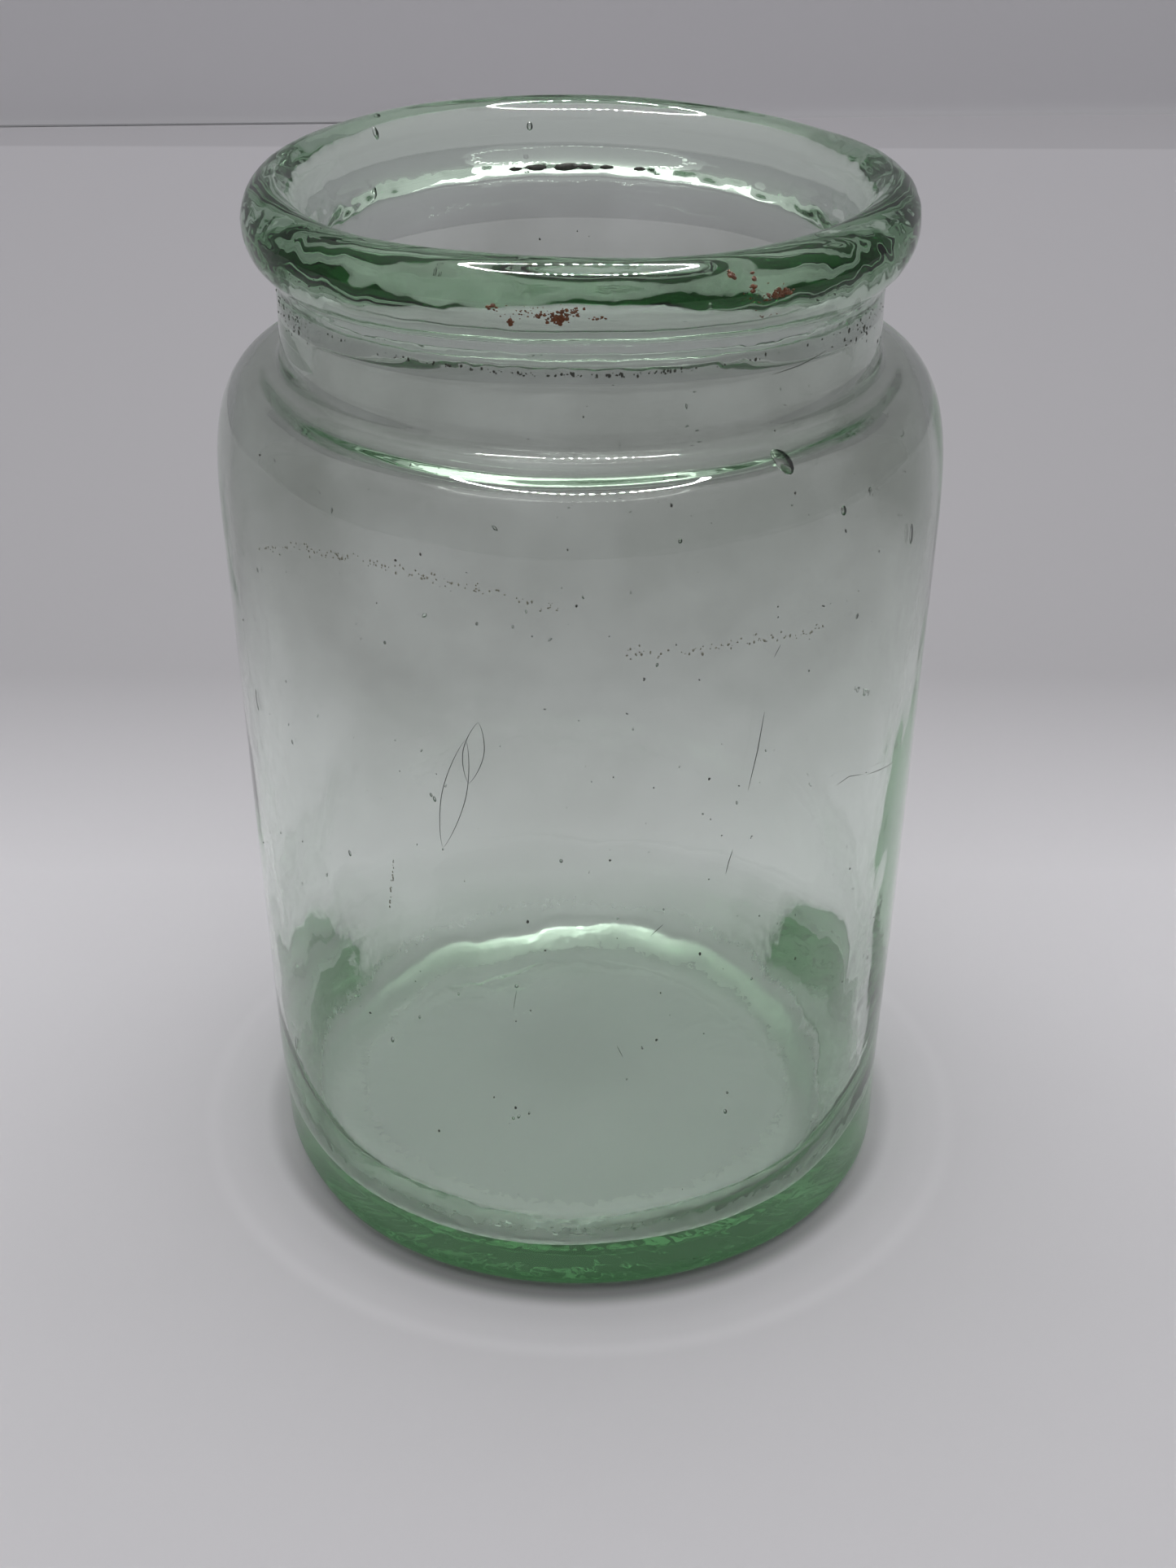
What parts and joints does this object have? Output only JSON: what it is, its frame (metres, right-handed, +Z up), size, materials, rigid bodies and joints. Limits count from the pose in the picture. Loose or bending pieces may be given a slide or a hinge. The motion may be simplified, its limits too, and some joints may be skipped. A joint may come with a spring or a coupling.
{
  "type": "open glass storage jar",
  "caption": "Open storage jar of aqua glass: heavy base, slightly widening round body, full shoulder, short neck and fat rolled rim with a funnel-shaped mouth.",
  "frame": {"origin": "middle of the ring the jar rests on, at the height of the surface it stands on", "axes": "+Z up along the jar's turning axis, towards the mouth; X and Y are any two level directions, because the jar is round"},
  "size_m": [0.0874, 0.0874, 0.1317],
  "materials": {
    "aqua_glass": "glossy, wavy hand-blown surface with seeds and light wear"
  },
  "bodies": {
    "root": {"glass_jar": "aqua_glass"}
  },
  "joints": []
}
